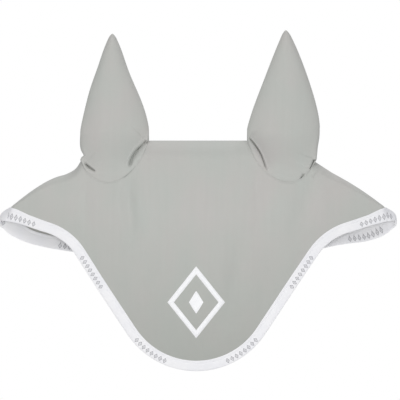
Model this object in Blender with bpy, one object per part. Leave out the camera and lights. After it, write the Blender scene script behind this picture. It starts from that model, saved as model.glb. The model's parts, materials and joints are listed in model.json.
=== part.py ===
"""Ear bonnet for a horse: a pointed forehead panel and a shorter neck panel that meet along one fold,
two hollow ear covers, a binding tape round the whole hem, and an embroidered badge.

The bonnet hangs as a head would hold it. +Z is up, the forehead panel faces -Y, and +X is the horse's
left. The origin is on the flat underside of the poll tape, which is what rests on the horse's poll.
Every length is in metres and every angle in degrees, unless a name says otherwise.
"""

import math

import bmesh
import bpy
from mathutils import Vector

# ---- Gaps and cloth ---------------------------------------------------------------------------------
SEAM_GAP = 0.0003          # between two sewn pieces
SWIVEL_GAP = 0.0005        # between an ear cover and the base it turns on
SHELL_THICKNESS = 0.0020   # hood panels
EAR_THICKNESS = 0.0016     # ear covers and their bases
BINDING_THICKNESS = 0.0030
TAPE_THICKNESS = 0.0012
THREAD_RADIUS = 0.0004
CORD_RADIUS = 0.0006       # rolled seam along an ear cover's edge

# ---- Fold line, seen from the front ------------------------------------------------------------------
HALF_WIDTH = 0.268         # centre to the outermost point of a wing
POLL_HALF = 0.0665         # half of the level stretch between the ears
EAR_FOOT_WIDTH = 0.089     # level width of the stretch under one ear
EAR_FOOT_ANGLE = 17.0
WING_ANGLE = 33.0
WING_NOSE = 0.015          # length of binding that wraps the wing's tip

# ---- Hems, seen from the front -----------------------------------------------------------------------
POINT_DROP = 0.295         # fold line to the lowest point of the forehead cloth
POINT_RADIUS = 0.097
FLANK_ANGLE = 56.5         # straight stretch above the point
CHEEK_RADIUS = 0.088       # hollow between that stretch and the wing
WING_HEM_ANGLE = 16.0
WING_EDGE = 0.0045         # height of the forehead cloth where it meets the wing binding
BACK_DROP = 0.144          # fold line to the lowest point of the neck cloth
BACK_EDGE = 0.006          # height of the neck cloth where its hem curve starts
BACK_POWER = 2.5
BACK_OVERRUN = 0.004       # the neck hem's curve would close this far past the cloth's end
BINDING_WIDTH = 0.013
STITCH_INSET = 0.0025      # binding's upper edge to the thread that holds it

# ---- Depth of the hood -------------------------------------------------------------------------------
DEPTH_FRONT = 0.034        # fold line to the forehead panel, on the centre line
DEPTH_BACK = 0.036
DEPTH_TIP = 0.005
DEPTH_POWER = 0.75         # fuller towards the wings when smaller
FOLD_SHARPENING = 2        # power by which the fold gets tighter towards the wings
FOLD_DROP = 0.024          # height over which the fold turns from level to upright
FORWARD_BULGE = 0.016
BULGE_DROP = 0.170         # the forehead panel bulges most this far below the fold line

# ---- Ear covers --------------------------------------------------------------------------------------
EAR_BASE_DEPTH = 0.0198    # radius of the rounded base about its tilt axis, at its middle
EAR_BASE_BELOW = 0.0125    # how far the base reaches under the tilt axis
EAR_HALF_WIDTH = 0.0485
EAR_DEPTH = 0.0150         # half of the cover's depth, front to back, at its foot
EAR_HEIGHT = 0.149         # fold line to the tip
EAR_FOOT_RISE = 0.0165     # fold line to the level where the cover turns on its base
EAR_TAPER = 1.5
EAR_WIDEST_RISE = 0.010    # fold line to the level where the cover starts to taper
EAR_POINT_OVERRUN = 0.003  # the two outlines would meet this far above the tip
EAR_TIP_CUT = 0.0025       # tip to where the two halves end
EAR_OFFSET = 0.0043        # the cover stands this far outwards of the middle of its foot
EAR_TOP_TUCK = 0.0007      # the base's ring is this much narrower than the cover, each side
EAR_WAIST_POWER = 3        # the base narrows to its ring sooner when larger
EAR_LEAN = 0.0032          # how far the tip leans outwards from the foot
EAR_HOLE_CLEARANCE = 0.0003
EAR_END_CLEARANCE = 0.0024 # extra room at both ends of the ear hole, for the tilting base
BASE_SEAM_DROP = 0.036     # how far the sewn line round the ear's foot dips below its two ends
BASE_SEAM_BELOW = 0.004    # tilt axis to the level of those ends
BASE_SEAM_START = 0.04     # share of the half turn left out at each end

# ---- Poll tape, badge and joints ---------------------------------------------------------------------
TAPE_HALF_LENGTH = 0.056
TAPE_HALF_WIDTH = 0.009
BADGE_HALF_WIDTH = 0.0395
BADGE_HALF_HEIGHT = 0.0495
BADGE_RISE = 0.079         # lowest point of the forehead cloth to the badge's centre
BADGE_STROKE = 0.0086
BADGE_CORE = 0.45          # inner lozenge, as a share of the room inside the frame
BADGE_THICKNESS = 0.0012
HOOD_HINGE_RISE = 0.002    # hinge line above the fold line

# ---- Facets --------------------------------------------------------------------------------------------
FOLD_ROWS = 4              # in each panel's half of the fold
FRONT_ROWS = 9
BACK_ROWS = 6
POLL_COLUMNS = 6           # centre line to the first ear hole
HOLE_STEPS = 12            # across one ear hole
WING_COLUMNS = 10
WRAP_STEPS = 11            # round a wing's tip
TAPE_COLUMNS = 5
BADGE_SIDE_STEPS = 6
BADGE_CORE_STEPS = 5
BASE_LEVELS = (-1, -0.5, 0, 0.25, 0.5, 0.75, 1)
RING_STEPS = 28
EAR_STEPS = 13             # round one half of a cover, and up it
EAR_SEAM_STEPS = 16
BASE_SEAM_STEPS = 24
SMALL_LENGTH = 0.0005      # steps for slopes
SMALL_ANGLE = 0.01
HEADING_LENGTH = 0.004     # stretch of hem that gives the heading at its end

# ---- What follows from them --------------------------------------------------------------------------
EAR_OUTER = POLL_HALF + EAR_FOOT_WIDTH
EAR_MIDDLE = POLL_HALF + EAR_FOOT_WIDTH / 2
EAR_TOP_HALF = EAR_HALF_WIDTH - EAR_TOP_TUCK
WING_END = HALF_WIDTH - WING_NOSE
FOLD_STEP = math.radians(90 / FOLD_ROWS)
TAPE_SAG = FOLD_DROP * math.tan(FOLD_STEP / 2) * TAPE_HALF_WIDTH / DEPTH_FRONT
CREST = TAPE_THICKNESS + SEAM_GAP + SHELL_THICKNESS / 2 + TAPE_SAG
PROUD = SHELL_THICKNESS / 2 + SEAM_GAP   # from the middle of a hood panel to what is sewn on it
EAR_FOOT_HEIGHT = CREST + EAR_FOOT_RISE
ALONG_FOOT = Vector((math.cos(math.radians(EAR_FOOT_ANGLE)), 0, -math.sin(math.radians(EAR_FOOT_ANGLE))))
OFF_FOOT = Vector((math.sin(math.radians(EAR_FOOT_ANGLE)), 0, math.cos(math.radians(EAR_FOOT_ANGLE))))
FOOT_HALF_LENGTH = EAR_FOOT_WIDTH / 2 / math.cos(math.radians(EAR_FOOT_ANGLE))
EAR_TIP = CREST + EAR_HEIGHT - EAR_TIP_CUT
TURN_LENGTH = 0.1          # one more turn is this much further down a panel
FRONT, BACK = -1, 1

COLOURS = {
    "shell_fabric": (0.49, 0.50, 0.47),
    "binding_tape": (0.82, 0.83, 0.86),
    "embroidery_thread": (0.86, 0.87, 0.88),
    "seam_thread": (0.45, 0.46, 0.44),
}


# ---- The hood's surface ------------------------------------------------------------------------------

def crest_z(x):
    """Height of the fold line: level over the poll, then down past the ear and along the wing."""
    x = abs(x)
    past_poll = max(0.0, min(x, EAR_OUTER) - POLL_HALF)
    past_ear = max(0.0, x - EAR_OUTER)
    fall = past_poll * math.tan(math.radians(EAR_FOOT_ANGLE)) + past_ear * math.tan(math.radians(WING_ANGLE))
    return CREST - fall


def depth(x, side):
    """Distance from the fold line to a panel, in plan: widest on the centre line, closed at the tips."""
    middle = DEPTH_FRONT if side == FRONT else DEPTH_BACK
    share = max(0.0, 1 - (x / HALF_WIDTH) ** 2)
    return DEPTH_TIP + (middle - DEPTH_TIP) * share ** DEPTH_POWER


def fold_drop(x, side):
    """The fold gets sharper as the hood gets narrower, so that the wing is pressed almost flat."""
    middle = DEPTH_FRONT if side == FRONT else DEPTH_BACK
    return FOLD_DROP * (depth(x, side) / middle) ** FOLD_SHARPENING


def hood_point(x, turn, side):
    """Point in the middle of a panel. turn runs from 0 on the fold line to 1 where the panel stands
    upright, and grows by 1 for each further TURN_LENGTH down."""
    quarter = min(turn, 1.0) * math.pi / 2
    y = depth(x, side) * math.sin(quarter)
    below = fold_drop(x, side) * (1 - math.cos(quarter)) + max(0.0, turn - 1.0) * TURN_LENGTH
    if side == FRONT:
        crown = math.sin(math.pi * below / (2 * BULGE_DROP))
        y += FORWARD_BULGE * crown * max(0.0, 1 - (x / HALF_WIDTH) ** 2)
    return Vector((x, side * y, crest_z(x) - below))


def turn_at(x, z, side):
    """The turn at which a panel passes height z in column x."""
    below = crest_z(x) - z
    drop = fold_drop(x, side)
    if below >= drop:
        return 1 + (below - drop) / TURN_LENGTH
    return math.acos(1 - max(0.0, below) / drop) / (math.pi / 2)


def hood_frame(x, turn, side):
    """Point and outward normal of a panel's middle surface."""
    step = SMALL_LENGTH
    across = hood_point(x + step, turn, side) - hood_point(x - step, turn, side)
    down = hood_point(x, turn + step, side) - hood_point(x, turn - step, side)
    normal = across.cross(down).normalized() * side
    return hood_point(x, turn, side), normal


def on_hood(x, z, side, lift=0.0):
    """Point on a panel at height z, lifted outwards, with the outward normal."""
    point, normal = hood_frame(x, turn_at(x, z, side), side)
    return point + normal * lift, normal


def ear_hole(x):
    """Half of the ear hole's depth, front to back, in column x; none away from the ears."""
    share = (abs(x) - EAR_MIDDLE) / (EAR_FOOT_WIDTH / 2 + EAR_HOLE_CLEARANCE)
    if abs(share) >= 1:
        return 0.0
    return (EAR_BASE_DEPTH + EAR_THICKNESS / 2 + EAR_HOLE_CLEARANCE) * math.sqrt(1 - share ** 2)


# ---- The hem lines -----------------------------------------------------------------------------------

def front_hem_z(x):
    """Lower edge of the forehead cloth: a round point, a straight flank, a hollow and the wing."""
    x = abs(x)
    flank = math.radians(FLANK_ANGLE)
    wing = math.radians(WING_HEM_ANGLE)
    centre_z = CREST - POINT_DROP + POINT_RADIUS
    flank_x = POINT_RADIUS * math.sin(flank)
    flank_z = centre_z - POINT_RADIUS * math.cos(flank)
    wing_z = crest_z(WING_END) - WING_EDGE
    rise = flank_z - wing_z - flank_x * math.tan(flank) + WING_END * math.tan(wing)
    corner_x = rise / (math.tan(wing) - math.tan(flank))
    corner_z = wing_z + (corner_x - WING_END) * math.tan(wing)
    reach = CHEEK_RADIUS * math.tan((flank - wing) / 2)
    low_x = corner_x - reach * math.cos(flank)
    low_z = corner_z - reach * math.sin(flank)
    high_x = corner_x + reach * math.cos(wing)
    if x < flank_x:
        return centre_z - math.sqrt(POINT_RADIUS ** 2 - x ** 2)
    if x < low_x:
        return flank_z + (x - flank_x) * math.tan(flank)
    if x < high_x:
        hollow_x = low_x + CHEEK_RADIUS * math.sin(flank)
        hollow_z = low_z - CHEEK_RADIUS * math.cos(flank)
        return hollow_z + math.sqrt(CHEEK_RADIUS ** 2 - (x - hollow_x) ** 2)
    return wing_z + (x - WING_END) * math.tan(wing)


def back_hem_z(x):
    """Lower edge of the neck cloth: one flat oval from wing to wing."""
    start = crest_z(WING_END) - BACK_EDGE
    share = min(1.0, abs(x) / (WING_END + BACK_OVERRUN)) ** BACK_POWER
    return start - (BACK_DROP - (CREST - start)) * (1 - share) ** (1 / BACK_POWER)


def below_hem(x, distance, side):
    """Point in the plan of the front view that lies a distance outside the hem, square to it."""
    hem = front_hem_z if side == FRONT else back_hem_z
    slope = (hem(x + SMALL_LENGTH) - hem(x - SMALL_LENGTH)) / (2 * SMALL_LENGTH)
    length = math.hypot(1, slope)
    return x + distance * slope / length, hem(x) - distance / length


# ---- Mesh helpers ------------------------------------------------------------------------------------

def material(slot):
    """Principled material of one slot."""
    found = bpy.data.materials.get(slot)
    if found:
        return found
    made = bpy.data.materials.new(slot)
    made.use_nodes = True
    shader = made.node_tree.nodes["Principled BSDF"]
    shader.inputs["Base Color"].default_value = (*COLOURS[slot], 1.0)
    shader.inputs["Roughness"].default_value = 0.9
    shader.inputs["Metallic"].default_value = 0.0
    return made


def add_object(name, data, slot, parent):
    """Link an object whose data is in world coordinates under a parent that has its own place."""
    made = bpy.data.objects.new(name, data)
    bpy.context.scene.collection.objects.link(made)
    data.materials.append(material(slot))
    if parent:
        made.parent = parent
        made.location = -parent.location
    return made


def sheet_solid(name, grid, thickness, slot, parent=None, around=False):
    """Closed solid of even thickness about a grid of (point, normal) rows; around joins its columns."""
    bm = bmesh.new()
    layers = []
    for side in (0.5, -0.5):
        layers.append([[bm.verts.new(p + n * thickness * side) for p, n in row] for row in grid])
    outer, inner = layers
    rows, columns = len(grid), len(grid[0])
    last = columns if around else columns - 1
    for j in range(last):
        k = (j + 1) % columns
        for i in range(rows - 1):
            bm.faces.new((outer[i][j], outer[i][k], outer[i + 1][k], outer[i + 1][j]))
            bm.faces.new((inner[i][j], inner[i + 1][j], inner[i + 1][k], inner[i][k]))
        bm.faces.new((outer[0][k], outer[0][j], inner[0][j], inner[0][k]))
        bm.faces.new((outer[-1][j], outer[-1][k], inner[-1][k], inner[-1][j]))
    if not around:
        for i in range(rows - 1):
            bm.faces.new((outer[i][0], outer[i + 1][0], inner[i + 1][0], inner[i][0]))
            bm.faces.new((outer[i + 1][-1], outer[i][-1], inner[i][-1], inner[i + 1][-1]))
    bmesh.ops.recalc_face_normals(bm, faces=bm.faces)
    mesh = bpy.data.meshes.new(name)
    bm.to_mesh(mesh)
    bm.free()
    mesh.shade_smooth()
    mesh.set_sharp_from_angle(angle=math.radians(50))
    return add_object(name, mesh, slot, parent)


def thread(name, points, radius, slot, parent=None):
    """A sewn thread or rolled seam: a thin tube through the points."""
    curve = bpy.data.curves.new(name, "CURVE")
    curve.dimensions = "3D"
    curve.bevel_depth = radius
    curve.bevel_resolution = 0
    curve.use_fill_caps = True
    spline = curve.splines.new("POLY")
    spline.points.add(len(points) - 1)
    for place, point in zip(spline.points, points):
        place.co = (*point, 1.0)
    return add_object(name, curve, slot, parent)


def hinge_empty(name, location):
    """Empty on a joint's axis, which the pieces of the moving body hang under."""
    made = bpy.data.objects.new(name, None)
    bpy.context.scene.collection.objects.link(made)
    made.location = location
    return made


def spread(low, high, count):
    """Evenly spaced values, both ends included."""
    return [low + (high - low) * i / (count - 1) for i in range(count)]


# ---- Hood panels and their bindings ------------------------------------------------------------------

def column_places():
    """Columns of a hood panel: closer together round each ear hole, mirrored about the centre."""
    reach = EAR_FOOT_WIDTH / 2 + EAR_HOLE_CLEARANCE
    hole = [EAR_MIDDLE - reach * math.cos(math.pi * i / HOLE_STEPS) for i in range(HOLE_STEPS + 1)]
    poll = spread(0, hole[0], POLL_COLUMNS)[:-1]
    wing = spread(hole[-1], WING_END, WING_COLUMNS)[1:]
    half = poll + hole + wing
    return [-x for x in reversed(half[1:])] + half


def hood_panel(name, hand, side, fall_rows, parent=None):
    """Half of a panel, from the centre seam to one wing, and from the fold line, or the ear hole's
    edge, down to its hem."""
    hem = front_hem_z if side == FRONT else back_hem_z
    grid = []
    for x in (hand * max(place, SEAM_GAP / 2) for place in column_places() if place >= 0):
        opening = max(ear_hole(x), SEAM_GAP / 2)
        start = math.asin(opening / depth(x, side)) / (math.pi / 2)
        end = turn_at(x, hem(x), side)
        knee = min(1.0, (start + end) / 2)
        turns = spread(start, knee, FOLD_ROWS + 1)[:-1] + spread(knee, end, fall_rows)
        grid.append([hood_frame(x, turn, side) for turn in turns])
    return sheet_solid(name, grid, SHELL_THICKNESS, "shell_fabric", parent)


def hem_frames(x, side):
    """Upper and lower edge of the binding below the hem in column x."""
    hem = front_hem_z if side == FRONT else back_hem_z
    edge, normal = on_hood(x, hem(x), side)
    lower, lower_normal = on_hood(*below_hem(x, SEAM_GAP + BINDING_WIDTH, side), side)
    upper = edge + (lower - edge).normalized() * SEAM_GAP
    return [(upper, normal), (lower, lower_normal)]


def hem_binding(name, side, parent=None):
    """Binding tape along one hem, from wing to wing."""
    grid = [hem_frames(x, side) for x in column_places()]
    return sheet_solid(name, grid, BINDING_THICKNESS, "binding_tape", parent)


def hem_stitches(name, side, parent=None):
    """Thread that holds a binding, along its upper edge."""
    lift = BINDING_THICKNESS / 2 + SEAM_GAP + THREAD_RADIUS
    route = []
    for x in column_places():
        place = below_hem(x, SEAM_GAP + STITCH_INSET, side)
        route.append(on_hood(*place, side, lift)[0])
    return thread(name, route, THREAD_RADIUS, "seam_thread", parent)


def bezier(points, t):
    """Point on a cubic curve."""
    a, b, c, d = points
    s = 1 - t
    return a * s ** 3 + b * 3 * s * s * t + c * 3 * s * t * t + d * t ** 3


def wing_binding(name, hand):
    """Binding tape round a wing's tip, from the forehead hem to the neck hem. Each edge is a cubic curve
    that leaves both hems straight ahead and is at the nose halfway."""
    edges = []
    caps = [[], []]
    nose = HALF_WIDTH - BINDING_THICKNESS / 2
    for level in (0, 1):
        ends = []
        for side, cap in zip((FRONT, BACK), caps):
            near = hem_frames(WING_END - HEADING_LENGTH, side)[level][0]
            end, normal = hem_frames(WING_END, side)[level]
            heading = (end - near).normalized()
            ends.append((end + heading * SEAM_GAP, heading))
            cap.append(normal)
        (start, out), (finish, back) = ends
        pull = (nose - (start.x + finish.x) / 2) / (3 / 8 * (out.x + back.x))
        edges.append((start, start + out * pull, finish + back * pull, finish))
    grid = []
    for t in spread(0.0, 1.0, WRAP_STEPS):
        points = [bezier(edge, t) for edge in edges]
        ahead, behind = (bezier(edges[0], t + d) for d in (SMALL_ANGLE, -SMALL_ANGLE))
        normals = [(points[1] - points[0]).cross(ahead - behind).normalized()] * 2
        if t in (0.0, 1.0):
            normals = caps[int(t)]
        grid.append([(Vector((p.x * hand, p.y, p.z)), Vector((n.x * hand, n.y, n.z)))
                     for p, n in zip(points, normals)])
    return sheet_solid(name, grid, BINDING_THICKNESS, "binding_tape")


def poll_tape():
    """Flat tape inside the fold, between the ears."""
    grid = []
    for x in spread(-TAPE_HALF_LENGTH, TAPE_HALF_LENGTH, TAPE_COLUMNS):
        row = [Vector((x, y, TAPE_THICKNESS / 2)) for y in (-TAPE_HALF_WIDTH, TAPE_HALF_WIDTH)]
        grid.append([(point, Vector((0, 0, 1))) for point in row])
    return sheet_solid("poll_tape", grid, TAPE_THICKNESS, "binding_tape")


# ---- Badge -------------------------------------------------------------------------------------------

def badge_frame():
    """Embroidered lozenge outline on the forehead."""
    grid = []
    corners = [(0, 1), (1, 0), (0, -1), (-1, 0)]
    for index, (x0, z0) in enumerate(corners):
        x1, z1 = corners[(index + 1) % 4]
        for step in range(BADGE_SIDE_STEPS):
            x = x0 + (x1 - x0) * step / BADGE_SIDE_STEPS
            z = z0 + (z1 - z0) * step / BADGE_SIDE_STEPS
            grid.append([badge_point(x, z, 1.0), badge_point(x, z, inner_share())])
    turned = [list(row) for row in zip(*grid)]
    return sheet_solid("badge_frame", turned, BADGE_THICKNESS, "embroidery_thread", around=True)


def inner_share():
    """Size of the frame's inner edge against its outer edge, for an even stroke."""
    square = BADGE_HALF_WIDTH * BADGE_HALF_HEIGHT / math.hypot(BADGE_HALF_WIDTH, BADGE_HALF_HEIGHT)
    return 1 - BADGE_STROKE / square


def badge_point(x, z, share):
    """Point of the badge, given in half widths and half heights, on the forehead cloth."""
    lift = PROUD + BADGE_THICKNESS / 2
    height = CREST - POINT_DROP + BADGE_RISE + z * share * BADGE_HALF_HEIGHT
    return on_hood(x * share * BADGE_HALF_WIDTH, height, FRONT, lift)


def badge_core():
    """Small embroidered lozenge inside the frame."""
    share = inner_share() * BADGE_CORE
    grid = []
    places = spread(-1, 1, BADGE_CORE_STEPS)
    for u in places:
        grid.append([badge_point((u + v) / 2, (u - v) / 2, share) for v in places])
    return sheet_solid("badge_core", grid, BADGE_THICKNESS, "embroidery_thread")


# ---- Ear covers --------------------------------------------------------------------------------------

def foot_point(along, depth_y, off):
    """Point by its place along the ear's tilt axis, in depth, and square off the axis."""
    middle = Vector((EAR_MIDDLE, 0, crest_z(EAR_MIDDLE)))
    return middle + ALONG_FOOT * along + OFF_FOOT * off + Vector((0, depth_y, 0))


def base_point(angle, rise):
    """Point of the base: rounded about the tilt axis for rise -1 to 0, then narrowing to the level
    ring that the ear cover turns on, at rise 1."""
    off = min(rise, 0.0) * EAR_BASE_BELOW
    shrink = math.sqrt(1 - (off / EAR_BASE_DEPTH) ** 2)
    length = (FOOT_HALF_LENGTH - EAR_THICKNESS / 2 - EAR_END_CLEARANCE) * shrink
    low = foot_point(length * math.cos(angle), -EAR_BASE_DEPTH * shrink * math.sin(angle), off)
    if rise <= 0:
        return low
    waist = EAR_DEPTH + (EAR_BASE_DEPTH - EAR_DEPTH) * (1 - rise) ** EAR_WAIST_POWER
    x = ear_centre(0) + EAR_TOP_HALF * math.cos(angle)
    top = Vector((x, 0, EAR_FOOT_HEIGHT - SWIVEL_GAP))
    mixed = low.lerp(top, rise)
    mixed.y = -waist * math.sin(angle)
    return mixed


def ear_centre(share):
    """Middle of the ear cover, across, at a share of the height from its foot to its tip."""
    return EAR_MIDDLE + EAR_OFFSET + EAR_LEAN * share


def ear_half_width(z):
    """Leaf outline of an ear cover."""
    taper = EAR_HEIGHT + EAR_POINT_OVERRUN - EAR_WIDEST_RISE
    share = max(0.0, (z - CREST - EAR_WIDEST_RISE) / taper)
    return EAR_HALF_WIDTH * (1 - min(1.0, share) ** EAR_TAPER)


def ear_point(angle, z):
    """Point in the middle of an ear cover's wall."""
    half = ear_half_width(z)
    share = (z - EAR_FOOT_HEIGHT) / (CREST + EAR_HEIGHT - EAR_FOOT_HEIGHT)
    half_depth = EAR_DEPTH * math.sqrt(half / EAR_HALF_WIDTH)
    return Vector((ear_centre(share) + half * math.cos(angle), -half_depth * math.sin(angle), z))


def framed(surface, angle, v, hand, step=SMALL_LENGTH):
    """Point and normal of a surface, mirrored to the horse's left (1) or right (-1)."""
    across = surface(angle + SMALL_ANGLE, v) - surface(angle - SMALL_ANGLE, v)
    along = surface(angle, v + step) - surface(angle, v - step)
    normal = across.cross(along).normalized()
    point = surface(angle, v)
    return Vector((point.x * hand, point.y, point.z)), Vector((normal.x * hand, normal.y, normal.z))


def ear_base(name, hand, parent):
    """Rounded base sewn into the ear hole: it tilts in the hole, and it is open above and below."""
    grid = []
    for rise in BASE_LEVELS:
        inside = min(max(rise, -1 + 2 * SMALL_ANGLE), 1 - 2 * SMALL_ANGLE)   # the slope needs both sides
        row = []
        for step in range(RING_STEPS):
            angle = math.tau * step / RING_STEPS
            _, normal = framed(base_point, angle, inside, hand, SMALL_ANGLE)
            point = base_point(angle, rise)
            row.append((Vector((point.x * hand, point.y, point.z)), normal))
        grid.append(row)
    grid[-1] = [(p, Vector((n.x, n.y, 0)).normalized()) for p, n in grid[-1]]
    return sheet_solid(name, grid, EAR_THICKNESS, "shell_fabric", parent, around=True)


def ear_half(name, hand, side, parent):
    """Front or back half of an ear cover, from one edge seam to the other."""
    grid = []
    for index, z in enumerate(spread(EAR_FOOT_HEIGHT, EAR_TIP, EAR_STEPS)):
        half_depth = abs(ear_point(math.pi / 2, z).y)
        start = math.asin(SEAM_GAP / 2 / half_depth)
        angles = [a if side == FRONT else -a for a in spread(start, math.pi - start, EAR_STEPS)]
        row = [framed(ear_point, angle, z, hand) for angle in angles]
        if index == 0:
            row = [(p, Vector((n.x, n.y, 0)).normalized()) for p, n in row]
        grid.append(row)
    return sheet_solid(name, grid, EAR_THICKNESS, "shell_fabric", parent)


def ear_seam(name, hand, parent):
    """Rolled seam up one edge of an ear cover, over its tip and down the other edge."""
    lift = EAR_THICKNESS / 2 + SEAM_GAP + CORD_RADIUS
    levels = spread(EAR_FOOT_HEIGHT + CORD_RADIUS, EAR_TIP, EAR_SEAM_STEPS)
    outer = [framed(ear_point, 0.0, z, hand) for z in levels]
    inner = [framed(ear_point, math.pi, z, hand) for z in reversed(levels)]
    rising = [p + n * lift for p, n in outer]
    falling = [p + n * lift for p, n in inner]
    top = (rising[-1] + falling[0]) / 2 + Vector((0, 0, lift))
    return thread(name, rising + [top] + falling, CORD_RADIUS, "seam_thread", parent)


def base_seam(name, hand):
    """Thread that sews the ear's foot to the forehead panel, dipping under the ear."""
    route = []
    for share in spread(BASE_SEAM_START, 1 - BASE_SEAM_START, BASE_SEAM_STEPS + 1):
        angle = math.pi * share
        along = FOOT_HALF_LENGTH * math.cos(angle)
        place = foot_point(along, 0, -BASE_SEAM_DROP * math.sin(angle) - BASE_SEAM_BELOW)
        point, _ = on_hood(place.x, place.z, FRONT, PROUD + THREAD_RADIUS)
        route.append(Vector((point.x * hand, point.y, point.z)))
    return thread(name, route, THREAD_RADIUS, "seam_thread")


def ear(side_name, hand):
    """All of one ear: its base on the tilt axis, and its cover on the turn axis."""
    tilt = hinge_empty(side_name + "_ear_tilt_axis", (EAR_MIDDLE * hand, 0, crest_z(EAR_MIDDLE)))
    turn = hinge_empty(side_name + "_ear_turn_axis", (ear_centre(0) * hand, 0, EAR_FOOT_HEIGHT))
    ear_base(side_name + "_ear_base", hand, tilt)
    ear_half(side_name + "_ear_front", hand, FRONT, turn)
    ear_half(side_name + "_ear_back", hand, BACK, turn)
    ear_seam(side_name + "_ear_seam", hand, turn)
    base_seam(side_name + "_ear_base_seam", hand)


def build():
    """The whole bonnet."""
    for old in list(bpy.data.objects):
        bpy.data.objects.remove(old, do_unlink=True)
    hood = hinge_empty("hood_hinge", (0, 0, CREST + HOOD_HINGE_RISE))
    hem_binding("front_binding", FRONT)
    hem_stitches("front_binding_stitch", FRONT)
    hem_binding("back_binding", BACK, hood)
    hem_stitches("back_binding_stitch", BACK, hood)
    poll_tape()
    badge_frame()
    badge_core()
    for side_name, hand in (("left", 1), ("right", -1)):
        hood_panel(side_name + "_front_panel", hand, FRONT, FRONT_ROWS)
        hood_panel(side_name + "_back_panel", hand, BACK, BACK_ROWS, hood)
        wing_binding(side_name + "_wing_binding", hand)
        ear(side_name, hand)


build()
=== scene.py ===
"""Looks of a horse's ear bonnet: soft grey cloth hood with two ear covers, white woven binding
round the hem and a raised satin-stitched badge. Metres and radians; +Z up, forehead towards -Y."""
import json
from math import acos, asin, copysign, cos, hypot, pi, radians, sin, sqrt, tan, tau

import bmesh
import bpy
import numpy as np
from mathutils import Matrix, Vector, noise
from mathutils.bvhtree import BVHTree
from mathutils.kdtree import KDTree

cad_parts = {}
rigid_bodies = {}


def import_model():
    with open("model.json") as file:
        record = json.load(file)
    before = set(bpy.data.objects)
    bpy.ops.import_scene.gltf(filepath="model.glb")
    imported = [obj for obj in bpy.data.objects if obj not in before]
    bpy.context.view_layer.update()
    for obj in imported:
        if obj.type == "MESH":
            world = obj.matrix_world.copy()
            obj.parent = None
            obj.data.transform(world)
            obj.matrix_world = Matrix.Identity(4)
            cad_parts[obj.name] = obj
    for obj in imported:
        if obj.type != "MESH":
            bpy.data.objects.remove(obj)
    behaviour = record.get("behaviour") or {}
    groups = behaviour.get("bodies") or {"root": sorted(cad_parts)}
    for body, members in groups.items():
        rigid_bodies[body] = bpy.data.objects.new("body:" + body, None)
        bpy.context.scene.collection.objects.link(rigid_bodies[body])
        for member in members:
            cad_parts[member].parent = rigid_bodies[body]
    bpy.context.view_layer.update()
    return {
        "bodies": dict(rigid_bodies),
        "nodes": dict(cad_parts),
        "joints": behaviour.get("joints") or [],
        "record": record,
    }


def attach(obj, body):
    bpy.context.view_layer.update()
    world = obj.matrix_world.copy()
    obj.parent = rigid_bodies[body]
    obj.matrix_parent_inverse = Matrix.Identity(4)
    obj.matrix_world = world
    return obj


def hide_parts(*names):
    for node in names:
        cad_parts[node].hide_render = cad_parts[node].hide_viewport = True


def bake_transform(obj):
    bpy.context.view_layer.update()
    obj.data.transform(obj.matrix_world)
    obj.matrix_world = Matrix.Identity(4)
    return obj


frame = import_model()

# ---- Sizes, as in the CAD ----
SEAM_GAP = 0.0003
BINDING_THICKNESS = 0.0030
BINDING_WIDTH = 0.013
TAPE_THICKNESS = 0.0012
HALF_WIDTH = 0.268
POLL_HALF = 0.0665
EAR_FOOT_WIDTH = 0.089
EAR_FOOT_ANGLE = radians(17.0)
WING_ANGLE = radians(33.0)
WING_NOSE = 0.015
POINT_DROP = 0.295
POINT_RADIUS = 0.097
FLANK_ANGLE = radians(56.5)
CHEEK_RADIUS = 0.088
WING_HEM_ANGLE = radians(16.0)
WING_EDGE = 0.0045
BACK_DROP = 0.144
BACK_EDGE = 0.006
BACK_POWER = 2.5
DEPTH_FRONT = 0.034
DEPTH_BACK = 0.036
DEPTH_TIP = 0.005
FOLD_DROP = 0.024
FORWARD_BULGE = 0.016
BULGE_DROP = 0.170
EAR_BASE_DEPTH = 0.0198
EAR_HALF_WIDTH = 0.0485
EAR_DEPTH = 0.0150
EAR_HEIGHT = 0.149
EAR_FOOT_RISE = 0.0165
EAR_LEAN = 0.0032
TAPE_HALF_LENGTH = 0.056
TAPE_HALF_WIDTH = 0.009
BADGE_HALF_WIDTH = 0.0395
BADGE_HALF_HEIGHT = 0.0495
BADGE_DROP = 0.216
BADGE_STROKE = 0.0086
BADGE_CORE = 0.45

CREST = 0.0037637  # the fold line at the poll
EAR_OUTER = POLL_HALF + EAR_FOOT_WIDTH
EAR_MIDDLE = POLL_HALF + EAR_FOOT_WIDTH / 2
WING_END = HALF_WIDTH - WING_NOSE
RING_Z = CREST + EAR_FOOT_RISE
EAR_TIP_Z = CREST + EAR_HEIGHT
FRONT, BACK = -1, 1

# ---- Cloth ----
CLOTH = 0.0014  # thickness shown
EAR_CLOTH = 0.0012
EAR_SEAM_DEPTH = 0.041  # the sewn line under an ear dips this far below the fold line
SEAM_POWER = 0.75  # how square the sewn line and the hood's plan are
HOLE_DEPTH = EAR_BASE_DEPTH + 0.0011
BACK_HALF = WING_END + 0.004
RISE_WIDTH = 0.028  # the cloth's hem rises over this much of a wing,
BELOW_FOLD = 0.0004  # to this far below the fold line
COVER_SHIFT = 0.0043  # an ear cover's middle is this far outside its foot's
COVER_BACK_U = 0.31  # keeps the back of a cover apart from its front in the weave
TURN_HEIGHT = 0.1  # a panel's turn rises by 1 over this height, below the fold
STEP = 0.0005  # for slopes
HOLE_STEPS = 24
FOOT_ROWS = 18
COVER_ROWS = 38
SWING = 0.0024  # the forehead point hangs this far to the horse's right


# ---- Hood surface ----

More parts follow.
